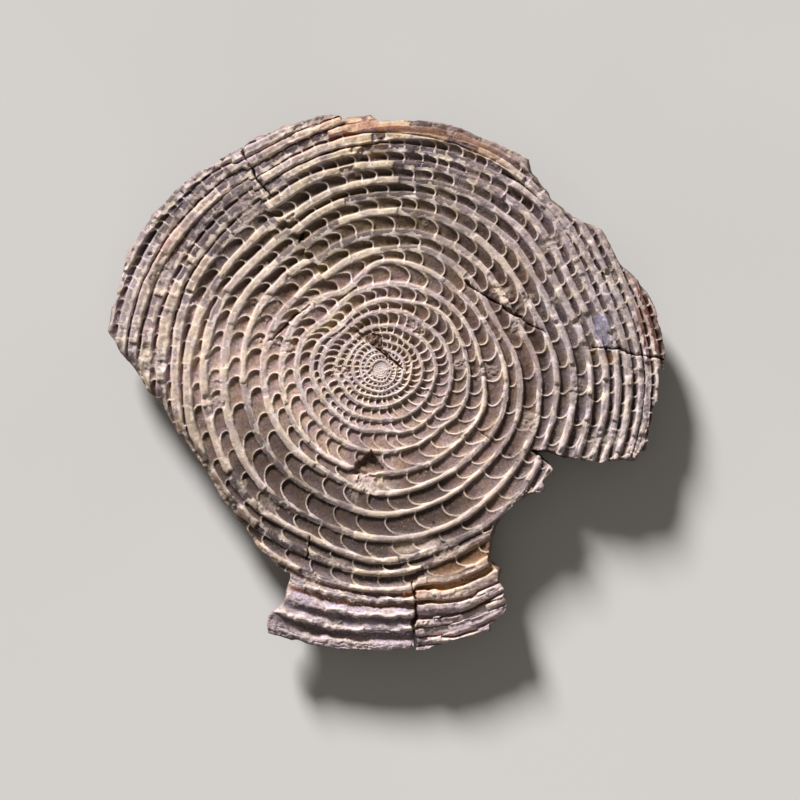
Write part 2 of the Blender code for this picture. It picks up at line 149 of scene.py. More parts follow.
# raised ivory lengths of the wall: whorl, first and last degrees
CAPS = (
    (9, 262, 305), (10, 222, 254.5), (10, 255.5, 270), (11, 200, 237), (12, 254, 276), (13, 168, 194),
    (13, 207, 231), (13, 237, 258), (14, 210, 231), (14, 235, 275.5), (15, 178, 198.5), (15, 235, 273.5),
    (16, 184, 203.5), (16, 243, 265), (18, 186, 205), (12, 203, 222), (17, 176, 190),
)
# ground and broken patches: x, y, half widths in mm, turn in degrees
BROKEN = (
    (7.9, 5.0, 0.9, 0.45, -30), (8.9, 2.9, 0.8, 0.5, 40), (9.6, -3.6, 1.0, 0.6, 60),
    (-4.4, 4.3, 0.9, 0.45, 40), (-14.2, 6.2, 0.6, 1.5, -12), (-15.1, 0.6, 1.1, 0.8, 0),
    (-10.9, -1.9, 0.7, 0.4, 0), (12.7, -1.2, 0.8, 0.5, 70), (4.1, -11.8, 1.3, 0.5, 15),
    (-2.7, -12.6, 1.0, 0.35, -15), (2.4, 2.7, 0.7, 0.4, -40), (5.1, 0.3, 0.5, 0.4, 0),
    (-2.2, 12.9, 0.6, 0.3, 10), (11.2, 8.3, 0.5, 1.0, -40), (-8.6, 10.2, 0.6, 0.9, 30),
    (14.5, -4.4, 1.2, 0.6, 10),
)


def fine_radii():
    """The spiral wall's radius at the fine steps between its measured places (Catmull-Rom)."""
    outer = [r + OUTER_PITCH for r in WALL[-1]]
    radii = np.array(list(INNER_ROW) + [r for row in WALL for r in row] + outer * 2)
    padded = np.concatenate([radii[:1], radii, radii[-1:], radii[-1:]])
    t = np.arange(FINE_STEPS) / FINE_STEPS
    before, here, after, beyond = (padded[k:k + len(radii), None] for k in range(4))
    slope_in = (after - before) / 2
    slope_out = (beyond - here) / 2
    bend = 2 * (here - after) + slope_in + slope_out
    rise = 3 * (after - here) - 2 * slope_in - slope_out
    return (here + slope_in * t + rise * t**2 + bend * t**3).ravel()


RADII = fine_radii()


def wall_radius(turn):
    place = turn * POINTS_PER_TURN
    index = np.clip(place.astype(int), 0, len(RADII) - 2)
    t = np.clip(place - index, 0, 1)
    return RADII[index] * (1 - t) + RADII[index + 1] * t


ARC_LENGTH = np.concatenate([[0], np.cumsum(RADII) * TAU / POINTS_PER_TURN])


def arc_length(turn):
    """Length of the spiral wall from its start to a turn."""
    return np.interp(turn * POINTS_PER_TURN, np.arange(len(ARC_LENGTH)), ARC_LENGTH)


def lattice_noise(x, y, seed):
    """Smooth noise in -1..1 whose features are about one unit wide."""
    table = np.random.default_rng(seed).uniform(-1, 1, (NOISE_CELLS, NOISE_CELLS))
    ix = np.floor(x).astype(int)
    iy = np.floor(y).astype(int)
    tx = x - ix
    ty = y - iy
    tx = tx * tx * (3 - 2 * tx)
    ty = ty * ty * (3 - 2 * ty)
    left, right = ix % NOISE_CELLS, (ix + 1) % NOISE_CELLS
    low, high = iy % NOISE_CELLS, (iy + 1) % NOISE_CELLS
    below = table[left, low] * (1 - tx) + table[right, low] * tx
    above = table[left, high] * (1 - tx) + table[right, high] * tx
    return below * (1 - ty) + above * ty


def fractal(x, y, size, seed, octaves=3):
    """Noise whose broadest features are one size wide, with finer ones on top."""
    total = 0
    for octave in range(octaves):
        scale = 2**octave
        noise = lattice_noise(x / size * scale + 17 * octave, y / size * scale, seed + octave)
        total = total + noise / scale
    return total


def line_noise(s, size, seed):
    """Noise that depends on the length along the spiral wall alone."""
    place = s / size
    return lattice_noise(place % NOISE_CELLS, np.floor(place / NOISE_CELLS), seed)


def smooth(low, high, value):
    """0 below two values and 1 above them."""
    t = np.clip((value - low) / (high - low), 0, 1)
    return t * t * (3 - 2 * t)


def fade(low, high, value):
    """1 below two values and 0 above them."""
    return 1 - smooth(low, high, value)


def window(low, high, edge, value):
    """1 between two values, fading to 0 around each."""
    return smooth(low - edge, low + edge, value) * fade(high - edge, high + edge, value)


def bearing(x, y):
    """Degrees clockwise from the right, from above."""
    return np.degrees(np.arctan2(-y, x)) % 360


def sector(degrees, low, high, edge=8.0):
    """1 between two bearings, fading to 0 around each."""
    half = (high - low) / 2
    off = np.abs((degrees - (low + high) / 2 + 180) % 360 - 180)
    return fade(half - edge / 2, half + edge / 2, off)


def septum_turns():
    rng = np.random.default_rng(CHAMBER_SEED)
    places = []
    turn = 0.0
    while turn < TURNS + 1:
        length = np.interp(turn - 1, range(len(CHAMBER_LENGTH)), CHAMBER_LENGTH)
        length *= 1 + CHAMBER_VARIATION * rng.uniform(-1, 1)
        turn += length / (TAU * float(wall_radius(np.array(turn + 0.5))))
        places.append(turn)
    return np.array(places)


SEPTA = septum_turns()


def wall_half(turn, degrees):
    """Half thickness of the wall: thicker on the left, swelling and thinning along its length."""
    base = np.interp(turn, np.arange(len(WALL_THICKNESS)), WALL_THICKNESS) / 2
    s = arc_length(turn)
    outer = smooth(11, 15, turn)
    left = np.cos(np.radians(degrees - 192))
    side = 1 + np.where(left > 0, 0.14 + 0.22 * outer, 0.14 - 0.16 * outer) * left
    lobe = fade(26, 31, np.abs(degrees - 87.5)) * smooth(14.5, 16.0, turn)
    side = side + lobe * (0.42 - 0.7 * smooth(81, 84, degrees))
    side = side + 0.11 * sector(degrees, 238, 325, 40) * smooth(8, 11, turn)
    far_left = sector(degrees, 176, 250, 15) * smooth(15.5, 17, turn)
    side = side + 0.35 * far_left
    half = base * side * (1 + 0.16 * line_noise(s, 2.3, 11) + 0.1 * line_noise(s, 0.55, 12))
    return np.minimum(half, (0.39 + 0.04 * far_left) * (wall_radius(turn + 1) - wall_radius(turn)))


def cap_share(wall_turn, s, degrees, radius):
    """1 on the raised ivory lengths of the wall: a list at the top and left, chance elsewhere."""
    chance = smooth(0.0, 0.03, line_noise(s, 3.0, 13) + 0.4 * line_noise(s, 0.9, 14) + 0.02)
    chance = chance * smooth(3.5, 6, radius)
    whorl = np.floor(wall_turn + 1e-6)
    listed = np.zeros(s.shape)
    for number, first, last in CAPS:
        listed = np.maximum(listed, window(first, last, 0.3, degrees) * (whorl == number))
    at_top = (degrees > 226) & (degrees < 305) & (whorl >= 9) & (whorl <= 16)
    return np.where(at_top, listed, np.maximum(listed, chance))


def hollow(distance, run):
    """Depth share at a distance from the edge of a rounded hollow."""
    return 1 - (1 - np.clip(distance / run, 0, 1)) ** 2.6


def face_height(x, y):
    radius = np.hypot(x, y)
    height = CENTRE_THICKNESS - FACE_DROP * (radius / FACE_RADIUS) ** FACE_POWER
    degrees = bearing(x, y)
    off_lobe = np.abs((degrees - LOBE_ANGLE + 180) % 360 - 180)
    on_lobe = fade(LOBE_HALF_ANGLE * 0.6, LOBE_HALF_ANGLE, off_lobe)
    return height - LOBE_DROP * on_lobe * smooth(LOBE_START, LOBE_END, radius)


def whorl_place(x, y):
    """Turn (whole turns counted by the wall just inside the point) and radius."""
    radius = np.hypot(x, y)
    phase = (np.arctan2(-y, x) / TAU) % 1.0
    turn = phase.copy()
    for whorl in range(1, TURNS + 1):
        turn = np.where(wall_radius(phase + whorl) <= radius, phase + whorl, turn)
    return turn, radius


def septum_curve(share):
    """Lag of a septum behind its foremost point, in chamber heights, and its slope."""
    back = np.clip((BEND_AT - share) / BEND_AT, 0, 0.9)
    ahead = np.clip((share - BEND_AT) / (1 - BEND_AT), 0, 0.985)
    lag = INNER_LAG * (1 - np.sqrt(1 - back**2)) + OUTER_LAG * (1 - np.sqrt(1 - ahead**2))
    slope = (OUTER_LAG * ahead / np.sqrt(1 - ahead**2) / (1 - BEND_AT)
             - INNER_LAG * back / np.sqrt(1 - back**2) / BEND_AT)
    return lag, slope


def fault_place(x, y):
    """Distance along and across the centre's break, positive at its upper right, and 1 beside it."""
    (x0, y0), (x1, y1) = FAULT_START, FAULT_END
    length = math.hypot(x1 - x0, y1 - y0)
    ux, uy = (x1 - x0) / length, (y1 - y0) / length
    along = (x - x0) * ux + (y - y0) * uy
    across = -(x - x0) * uy + (y - y0) * ux
    beside = smooth(-0.15, 0.1, along) * fade(length - 0.1, length + 0.15, along)
    return along, across, beside


def displaced(x, y):
    """Where the pattern at a point comes from, once the breaks have moved its pieces."""
    degrees = bearing(x, y)
    radius = np.hypot(x, y)
    jagged = 2.6 * fractal(radius / 1.1, 0.5, 1, 91)
    past = (degrees - 233.5 - 0.5 * (17 - radius) - jagged) / 20
    slip = 0.26 * smooth(0, 0.03, past) * fade(0.1, 1.0, past) * smooth(5, 8, radius)
    past = (x - 2.2 - 0.12 * fractal(y / 0.9, 0.0, 1, 92, 2)) / 3.0
    lobe = 0.3 * smooth(0, 0.06, past) * fade(0.2, 1.0, past) * fade(-13.6, -12.8, y)
    _, across, beside = fault_place(x, y)
    fault = 0.1 * smooth(0.0, 0.04, across) * fade(0.5, 1.5, across) * beside
    scale = 1 + (slip + lobe) / np.maximum(radius, 1)
    return x * scale - 0.62 * fault, y * scale - 0.78 * fault


def bar_pieces(x, y):
    """Right of the lower crack: how far each piece of the bars is set off sideways, and upwards."""
    table = np.random.default_rng(97).uniform(-1, 1, (STONE_CELLS, STONE_CELLS, 2))
    bar = np.floor((y - BAR_SLOPE * x) / BAR_WIDTH)
    along = x / BAR_LENGTH + 0.5 * bar + 0.15 * fractal(x, y, 0.4, 98, 2)
    piece = table[np.floor(along).astype(int) % STONE_CELLS, bar.astype(int) % STONE_CELLS]
    here = smooth(-14.0, -14.4, y) * (x > 2.2)
    return here * piece[..., 0], here * piece[..., 1]


def relief(x, y):
    """The split face's pattern at the points (x, y), as a dictionary of arrays."""
    px, py = displaced(x, y)
    on_lobe = smooth(-14.2, -14.9, y) * np.where(x > 2.2, 0.1, 1.0)
    px = px + on_lobe * 0.09 * fractal(x, y, 0.4, 95)
    py = py + on_lobe * 0.09 * fractal(x / 0.4 + 20, y / 0.4, 1, 96)
    jog, _ = bar_pieces(x, y)
    px = px - 0.03 * jog
    py = py + 0.1 * jog
    px = px + 0.035 * fractal(px, py, 0.8, 93, 2)
    py = py + 0.035 * fractal(px / 0.8 + 40, py / 0.8, 1, 94, 2)
    turn, radius = whorl_place(px, py)
    degrees = turn % 1.0 * 360
    # left of the lower crack one wall is missing: the whorls on its two sides run together
    lobe = fade(24, 30, np.abs(degrees - 87.5)) * fade(2.1, 2.3, x)
    lobe = lobe * smooth(13.8, 14.6, radius)
    merged = (lobe > 0.5) & (turn >= 18) & (turn < 20)
    turn_in = np.where(merged & (turn >= 19), turn - 1, turn)
    turn_out = np.where(merged & (turn < 19), turn + 2, turn + 1)
    inner = wall_radius(turn_in)
    outer = wall_radius(turn_out)
    half_in = wall_half(turn_in, degrees)
    half_out = wall_half(turn_out, degrees)
    pitch = outer - inner
    gap = np.maximum(pitch - half_in - half_out, 0.06)
    from_inner = radius - inner - half_in
    from_outer = outer - radius - half_out
    share = np.clip(from_inner / gap, 0, 1)
    lag, slope = septum_curve(share)

    rng = np.random.default_rng(21)
    lean = (1 + 0.25 * rng.uniform(-1, 1, len(SEPTA))) * (1 - 0.35 * smooth(13, 17, SEPTA))
    lean = lean * (0.35 + 0.65 * smooth(4.5, 8, SEPTA))
    deep = rng.uniform(0.65, 1.15, len(SEPTA))
    tone = rng.uniform(0, 1, len(SEPTA))
    filled = rng.uniform(0, 1, len(SEPTA)) < 0.05 + 0.1 * smooth(12, 16, SEPTA)
    deep = np.where(filled, 0.35 * deep, deep)

    near = np.searchsorted(SEPTA, turn)
    nearest = np.full(x.shape, 9.0)
    chamber = np.zeros(x.shape, int)
    behind = np.full(x.shape, 9.0)
    ahead = np.full(x.shape, 9.0)
    for offset in (-2, -1, 0, 1, 2):
        k = np.clip(near + offset, 0, len(SEPTA) - 1)
        along = (turn - SEPTA[k]) * TAU * radius + lean[k] * gap * lag
        behind = np.where((along > 0) & (along < behind), along, behind)
        ahead = np.where((along <= 0) & (-along < ahead), -along, ahead)
        distance = np.abs(along) / np.sqrt(1 + (lean[k] * slope) ** 2)
        nearest = np.minimum(distance, nearest)
        chamber = np.where(along > 0, k, chamber)

    wall_in = -np.minimum(from_inner, from_outer)
    on_inner = from_inner < from_outer
    wall_turn = np.where(on_inner, turn_in, turn_out)
    half = np.where(on_inner, half_in, half_out)
    s = arc_length(wall_turn)
    outer_whorls = smooth(9, 14, radius)
    cap = cap_share(wall_turn, s, degrees, radius)
    across_wall = (radius - wall_radius(wall_turn)) / half
    # the wall: rounded towards its outer edge, and higher along its capped lengths
    to_outer_edge = np.where(on_inner, wall_in, 2 * half - wall_in)
    crest = -0.06 * (1 - np.clip(to_outer_edge / np.minimum(half, 0.12), 0, 1)) ** 2
    crest -= 0.03 * (1 - np.clip(wall_in / np.minimum(half, 0.08), 0, 1)) ** 2
    swell = np.sqrt(np.clip(wall_in / np.minimum(half, 0.11), 0, 1))
    crest += cap * (0.05 + 0.1 * outer_whorls) * swell
    # the chamber: a cliff outside its inner wall, a floor rising to the next wall, hollows under the septa
    cliff = smooth(0, np.minimum(0.07, 0.45 * gap), from_inner)
    shallow = 1 - 0.45 * np.clip(np.sin(np.radians(degrees)), 0, 1) * smooth(2, 5, radius)
    bed = -np.minimum(TILT, 0.16 * pitch) * cliff * (1 - share) * shallow
    septum = nearest - SEPTUM_HALF
    run = np.minimum(np.where(ahead < behind, 0.12, 0.22), 0.45 * gap)
    bowl = hollow(septum, run) * hollow(from_outer, np.minimum(0.1, 0.3 * gap))
    bowl = bowl * (0.35 + 0.65 * behind / (behind + ahead)) * (1 - 0.65 * smooth(0.45, 1.0, share))
    bowl = bowl * np.minimum(SCOOP, 0.34 * pitch) * deep[chamber] * cliff * shallow
    height = np.where(wall_in > 0, crest, bed - bowl - 0.03 * cliff * (septum > 0))
    # on the lobe's left a long slope falls from each wall and a short one rises to the next
    fall = np.where(merged, 0.27, 0.17) * (1 + 0.3 * line_noise(s, 2.5, 15)) * smooth(-6.6, -4.6, x)
    slope_down = -fall * (smooth(-0.05, 0.38, share) - smooth(0.48, 1.0, share))
    height = height + lobe * np.where(wall_in > 0, 0, slope_down - height)
    # the outermost wall at the top is one smooth broad band
    band = sector(degrees, 262, 303, 3) * smooth(15.36, 15.44, radius)
    groove = np.exp(-((radius - 15.42) / 0.05) ** 2)
    height = height + band * (-0.03 - 0.16 * groove - 0.1 * smooth(15.9, 16.5, radius) - height)
    septum = septum + 0.5 * np.maximum(lobe * smooth(15.0, 15.4, radius), band)
    # right of the crack the walls are thick bars with slits between them
    bars = sector(degrees, 56, 81.5, 3) * smooth(14.1, 14.3, radius) * (x > 2.2)
    slit = hollow(from_inner, 0.09) * hollow(from_outer, 0.12)
    height = height + bars * np.where(wall_in > 0, 0, -0.05 - 0.3 * slit - height) * 0.85
    height = height + 0.07 * bars * bar_pieces(x, y)[1]
    septum = septum + 0.4 * bars
    # a smooth filled place on the right
    flat = blob(x, y, 14.5, 2.5, 0.55, 1.25, 14, 601)
    height = height * (1 - 0.85 * flat)
    septum = septum + 0.5 * flat
    wall_in = wall_in - 0.3 * flat
    return dict(height=height, wall_in=wall_in, septum=septum, tone=tone[chamber], cap=cap, s=s, bars=bars,
                across=across_wall, radius=radius, degrees=degrees, share=share, lobe=lobe)


def polyline_distance(x, y, route):
    """Distance to a line through several points, and the share of the way along it."""
    best = np.full(x.shape, 99.0)
    place = np.zeros(x.shape)
    route = np.array(route)
    lengths = np.hypot(*(route[1:] - route[:-1]).T)
    total = lengths.sum()
    done = 0.0
    for here, after, length in zip(route[:-1], route[1:], lengths):
        ux, uy = (after - here) / length
        along = np.clip((x - here[0]) * ux + (y - here[1]) * uy, 0, length)
        distance = np.hypot(x - here[0] - along * ux, y - here[1] - along * uy)
        place = np.where(distance < best, (done + along) / total, place)
        best = np.minimum(distance, best)
        done += length
    return best, place


def groove_depth(x, y):
    """Depth of the open cracks at each point."""
    depth = np.zeros(x.shape)
    for number, (route, width, deep) in enumerate(CRACKS):
        xs, ys = zip(*route)
        near = np.flatnonzero((x > min(xs) - 1) & (x < max(xs) + 1) & (y > min(ys) - 1) & (y < max(ys) + 1))
        nx = x[near] + 0.1 * fractal(x[near], y[near], 0.5, 101 + number)
        ny = y[near] + 0.1 * fractal(x[near] / 0.5 + 30, y[near] / 0.5, 1, 111 + number)
        distance, place = polyline_distance(nx, ny, route)
        half = width / 2 * (0.35 + 0.9 * np.sqrt(np.clip(4 * place * (1 - place), 0, 1)))
        half = half * (1 + 0.5 * fractal(nx, ny, 0.9, 121 + number, 2))
        here = deep * fade(0.45, 1.0, distance / np.maximum(half, 0.03))
        depth[near] = np.maximum(depth[near], here)
    return depth


def polar(degrees, radius):
    angle = math.radians(degrees)
    return radius * math.cos(angle), -radius * math.sin(angle)


CORNERS = np.array([polar(*point) for point in OUTLINE])


def rim_distance(x, y):
    """Distance from the broken rim."""
    distance = np.full(x.shape, 9.0)
    far = np.flatnonzero(np.hypot(x, y) > 9.5)
    distance[far] = polyline_distance(x[far], y[far], [*CORNERS, CORNERS[0]])[0]
    return distance


def damage(x, y, info, rim):
    """Share by which the pattern is worn or broken away at each point."""
    near_rim = rim + 0.25 * fractal(x, y, 0.7, 131)
    worn = 0.7 * fade(0.0, 0.28, near_rim)
    at_left = sector(info["degrees"], 150, 240, 20) * smooth(11, 13, info["radius"])
    patch = fractal(x, y, 1.5, 133, 5) + 0.2 * smooth(13, 17, info["radius"]) - 0.35 * at_left
    worn = np.maximum(worn, 0.7 * smooth(0.92, 1.04, patch))
    for number, (cx, cy, rx, ry, turn) in enumerate(BROKEN):
        near = np.flatnonzero(np.hypot(x - cx, y - cy) < 2.5 * max(rx, ry))
        spot = 0.85 * blob(x[near], y[near], cx, cy, rx, ry, turn, 300 + 11 * number)
        worn[near] = np.maximum(worn[near], spot)
    below_pit = np.hypot((x + 0.6) / 1.6, (y + 7.5) / 0.62) + 0.3 * fractal(x, y, 0.5, 135)
    worn = np.maximum(worn, 0.8 * fade(0.7, 1.1, below_pit))
    return worn


def pit_share(x, y):
    """1 in the three-cornered pit below the centre."""
    corners = np.array(PIT)
    centre = corners.mean(0)
    inside = np.full(x.shape, 99.0)
    for here, after in zip(corners, np.roll(corners, -1, 0)):
        ux, uy = (after - here) / np.hypot(*(after - here))
        sign = np.sign(-(centre[0] - here[0]) * uy + (centre[1] - here[1]) * ux)
        inside = np.minimum(inside, sign * (-(x - here[0]) * uy + (y - here[1]) * ux))
    return smooth(-0.05, 0.1, inside + 0.08 * fractal(x, y, 0.4, 161))


def rim_bevel(degrees, rim, x, y):
    """1 at the rim and 0 inside the smooth bevel along the lower left side."""
    width = 0.75 * (1 + 0.4 * fractal(x, y, 1.5, 137, 2))
    return sector(degrees, 122, 184, 12) * fade(0.1, width, rim)


def facets(x, y, size, seed):
    """Broken stone: flat facets of about one size, each with its own height and slope."""
    table = np.random.default_rng(seed).uniform(-1, 1, (STONE_CELLS, STONE_CELLS, 5))
    gx = x / size
    gy = y / size
    nearest = np.full(x.shape, 9.0)
    height = np.zeros(x.shape)
    for step_x in (-1, 0, 1):
        for step_y in (-1, 0, 1):
            cell_x = np.floor(gx).astype(int) + step_x
            cell_y = np.floor(gy).astype(int) + step_y
            cell = table[cell_x % STONE_CELLS, cell_y % STONE_CELLS]
            dx = gx - cell_x - 0.5 - 0.4 * cell[..., 0]
            dy = gy - cell_y - 0.5 - 0.4 * cell[..., 1]
            distance = dx**2 + dy**2
            facet = 0.7 * cell[..., 2] + 0.8 * (cell[..., 3] * dx + cell[..., 4] * dy)
            height = np.where(distance < nearest, facet, height)
            nearest = np.minimum(distance, nearest)
    return height


def crumble(x, y):
    """Relief of a broken patch, about -1 to 1."""
    return 0.65 * facets(x, y, 0.36, 141) + 0.35 * facets(x, y, 0.17, 142)


def trench_share(x, y):
    """1 in the broken hollow along the upper right side of the centre's break, 0 away from it."""
    along, across, _ = fault_place(x, y)
    across = across + 0.04 * fractal(x, y, 0.3, 151)
    breadth = np.interp(along, *zip(*TRENCH)) + 0.1 * fractal(x, y, 0.35, 153)
    return smooth(-0.02, 0.04, across) * fade(breadth - 0.1, breadth, across) * (breadth > 0.02)


def sculpted_height(x, y):
    """Height of the split face with all its breaks and wear."""
    info = relief(x, y)
    rim = rim_distance(x, y)
    worn = damage(x, y, info, rim)
    radius = np.hypot(x, y)
    height = face_height(x, y) + info["height"] * (1 - 0.75 * worn)
    broken = np.flatnonzero(worn > 0.01)
    height[broken] -= worn[broken] * (0.08 + 0.11 * crumble(x[broken], y[broken]))
    height += 0.05 * fractal(x, y, 3.5, 31, 2)
    bevel = rim_bevel(info["degrees"], rim, x, y)
    height -= bevel * (0.1 + info["height"] * 0.7) + 0.4 * bevel**2
    on_wall = smooth(-0.02, 0.05, info["wall_in"])
    outer = smooth(10, 15, radius)
    lamina = lattice_noise(info["s"] / 1.6, info["across"] * 2.4 + 50, 51)
    height += on_wall * lamina * (0.012 + 0.03 * outer) * (1 - 0.5 * info["cap"])
    step = np.floor(1.3 * line_noise(info["s"], 3.4, 53) + 0.5)
    height += 0.035 * on_wall * outer * step
    height += (0.012 + 0.016 * on_wall * outer) * fractal(x, y, 0.24, 41)
    height += 0.02 * on_wall * line_noise(info["s"], 0.5, 52) * smooth(9, 14, radius)
    _, across, beside = fault_place(x, y)
    across = across + 0.06 * fractal(x, y, 0.3, 151)
    height -= beside * 0.12 * smooth(0.0, 0.06, across) * fade(0.5, 2.2, across)
    trench = trench_share(x, y)
    deep = np.flatnonzero(trench > 0)
    bottom = face_height(x[deep], y[deep]) - 0.26 + 0.12 * crumble(x[deep], y[deep])
    height[deep] += (np.minimum(bottom, height[deep]) - height[deep]) * trench[deep]
    disc = fade(DISC_RADIUS - 0.06, DISC_RADIUS, radius)
    rings = 0.02 * np.cos(TAU * radius / 0.14)
    height = height + (face_height(x, y) - 0.02 + rings - height) * disc
    height -= groove_depth(x, y)
    height -= PIT_DEPTH * pit_share(x, y)
    return height


def link(name, data):
    """Put new data in the scene as an object."""
    obj = bpy.data.objects.new(name, data)
    bpy.context.scene.collection.objects.link(obj)
    return obj


def mesh_object(name, verts, faces):
    """A mesh object from points in mm and arrays of faces, each array with its own number of corners."""
    mesh = bpy.data.meshes.new(name)
    verts = np.asarray(np.concatenate(verts) * MM, np.float32)
    mesh.vertices.add(len(verts))
    mesh.vertices.foreach_set("co", verts.ravel())
    loops = np.concatenate([f.astype(np.int32).ravel() for f in faces])
    sizes = np.concatenate([np.full(len(f), f.shape[1], np.int32) for f in faces])
    mesh.loops.add(len(loops))
    mesh.loops.foreach_set("vertex_index", loops)
    mesh.polygons.add(len(sizes))
    starts = np.concatenate([[0], np.cumsum(sizes)[:-1]]).astype(np.int32)
    mesh.polygons.foreach_set("loop_start", starts)
    mesh.update(calc_edges=True)
    return link(name, mesh)


def band(lower, upper):
    """Faces between two loops of points of the same length."""
    return np.stack([lower, np.roll(lower, -1), np.roll(upper, -1), upper], 1)


def tube(rings):
    """The bands between rings of points that follow each other, turned over."""
    return [band(*pair)[:, ::-1] for pair in zip(rings[:-1], rings[1:])]


def fan(middle, loop):
    """Triangles from one point to a loop of points."""
    return np.stack([np.full(len(loop), middle), loop, np.roll(loop, -1)], 1)


def relief_block():
    """Dense closed block: the split face on top, a flat underside, on one long spiral strip of rows."""
    rows = TURNS * SPOKES + 1
    turns = np.arange(rows) / SPOKES
    share = np.arange(ACROSS) / ACROSS
    inner = wall_radius(turns)
    radius = inner[:, None] + (wall_radius(turns + 1) - inner)[:, None] * share
    # the outermost wall closes the strip: one more turn of single points
    edge_turns = np.arange(rows, rows + SPOKES) / SPOKES
    radius = np.concatenate([radius.ravel(), wall_radius(edge_turns)])
    angle = TAU * np.concatenate([np.repeat(turns, ACROSS), edge_turns])
    x = radius * np.cos(angle)
    y = -radius * np.sin(angle)
    z = sculpted_height(x, y)

    def vertex(row, column):
        """Index of a point; column ACROSS is the first point one turn further on."""
        further = row + SPOKES
        first = np.where(further < rows, further * ACROSS, rows * ACROSS + further - rows)
        return np.where(column == ACROSS, first, row * ACROSS + column)

    row = np.arange(rows - 1)[:, None]
    column = np.arange(ACROSS)
    quads = np.stack([vertex(row, column), vertex(row + 1, column),
                      vertex(row + 1, column + 1), vertex(row, column + 1)], -1).reshape(-1, 4)
    # boundary loops: the centre, filled by rings and a fan, and the outside, with a skirt and a floor
    inward = np.arange(ACROSS - 1, 0, -1)
    centre_loop = np.concatenate([vertex(np.arange(SPOKES + 1), 0), vertex(0, inward)])
    outer_loop = np.concatenate([vertex(np.arange(rows - 1 - SPOKES, rows), ACROSS),
                                 vertex(rows - 1, inward)])
    verts = [np.stack([x, y, z], 1)]
    total = len(x)
    rings = [centre_loop]
    for scale in CENTRE_RINGS:
        ring_x = x[centre_loop] * scale
        ring_y = y[centre_loop] * scale
        rings.append(total + np.arange(len(centre_loop)))
        verts.append(np.stack([ring_x, ring_y, sculpted_height(ring_x, ring_y)], 1))
        total += len(centre_loop)
    below = total + 1 + np.arange(len(outer_loop))
    verts += [[[0, 0, CENTRE_THICKNESS]],
              np.stack([x[outer_loop], y[outer_loop], np.full(len(outer_loop), BLOCK_BOTTOM)], 1),
              [[0, 0, BLOCK_BOTTOM]]]
    bands = [band(outside, inside)[:, [0, 3, 2, 1]] for outside, inside in zip(rings[:-1], rings[1:])]
    faces = [quads, *bands, fan(total, rings[-1])[:, ::-1], band(outer_loop, below),
             fan(below[-1] + 1, below)[:, [1, 2, 0]]]
    return mesh_object("relief", verts, faces)


def rim_prism():
    """Closed upright band along the rim, clockwise from above. Its side is ragged and shows thin beds."""
    points = []
    for here, after in zip(CORNERS, np.roll(CORNERS, -1, 0)):
        count = max(1, int(np.hypot(*(after - here)) / RIM_STEP))
        points += [here + (after - here) * k / count for k in range(count)]
    points = np.array(points)
    count = len(points)
    along = np.roll(points, -1, 0) - np.roll(points, 1, 0)
    along /= np.maximum(np.hypot(along[:, 0], along[:, 1]), 1e-6)[:, None]
    outward = np.stack([-along[:, 1], along[:, 0]], 1)
    s = np.arange(count) * RIM_STEP
    levels = np.concatenate([[-1.5], np.arange(0.2, 3.9, 0.22), [5.0]])
    verts = []
    for z in levels:
        bed = lattice_noise(s / 2.2, z / 0.45, 61) * 0.12
        rough = fractal(s / 0.6, z / 0.4 + 40, 1, 62) * 0.09
        verts.append(np.column_stack([points + outward * (bed + rough)[:, None], np.full(count, z)]))
    rings = np.arange(len(levels) * count).reshape(-1, count)
    return mesh_object("rim", verts, tube(rings) + [rings[:1], rings[-1:, ::-1]])


def lens_body():
    """Closed body with the convex back below and a flat lid above."""
    radii = np.concatenate([np.linspace(0.3, REST_RADIUS, 16), np.linspace(REST_RADIUS + 0.12, 21, 120)])
    angle = TAU * np.arange(BACK_SPOKES) / BACK_SPOKES
    x = radii[:, None] * np.cos(angle)
    y = -radii[:, None] * np.sin(angle)
    radius = np.hypot(x, y)
    free = smooth(REST_RADIUS, REST_RADIUS + 2.5, radius)
    wave = 0.6 * lattice_noise(x / 1.6, y / 1.6, 71) + 0.35 * lattice_noise(x / 0.7, y / 0.7, 72)
    ridge = smooth(0.72, 0.95, np.abs((angle * BACK_RIDGES / TAU + wave * 0.9) % 1.0 - 0.5) * 2)
    z = BACK_RISE * (np.maximum(radius - REST_RADIUS, 0) / (FACE_RADIUS - REST_RADIUS)) ** BACK_POWER
    z = z + free * (0.035 * ridge + 0.05 * fractal(x, y, 3.2, 73, 2) + 0.07)
    rings = np.arange(x.size).reshape(x.shape)
    lid = x.size + 1 + np.arange(BACK_SPOKES)
    verts = [np.column_stack([x.ravel(), y.ravel(), z.ravel()]), [[0, 0, 0]],
             np.column_stack([x[-1], y[-1], np.full(BACK_SPOKES, LID_HEIGHT)]), [[0, 0, LID_HEIGHT]]]
    faces = tube(rings) + [fan(x.size, rings[0])[:, [1, 2, 0]]] + tube([rings[-1], lid])
    return mesh_object("lens", verts, faces + [fan(lid[-1] + 1, lid)[:, ::-1]])


def apply_modifiers(obj):
    depsgraph = bpy.context.evaluated_depsgraph_get()
    mesh = bpy.data.meshes.new_from_object(obj.evaluated_get(depsgraph))
    obj.modifiers.clear()
    old = obj.data
    obj.data = mesh
    bpy.data.meshes.remove(old)


def keep_inside(obj, cutter):
    """Keep the part of an object that is inside another, which is used up."""
    modifier = obj.modifiers.new(cutter.name, "BOOLEAN")
    modifier.operation = "INTERSECT"
    modifier.object = cutter
    modifier.solver = "MANIFOLD"
    apply_modifiers(obj)
    bpy.data.objects.remove(cutter)


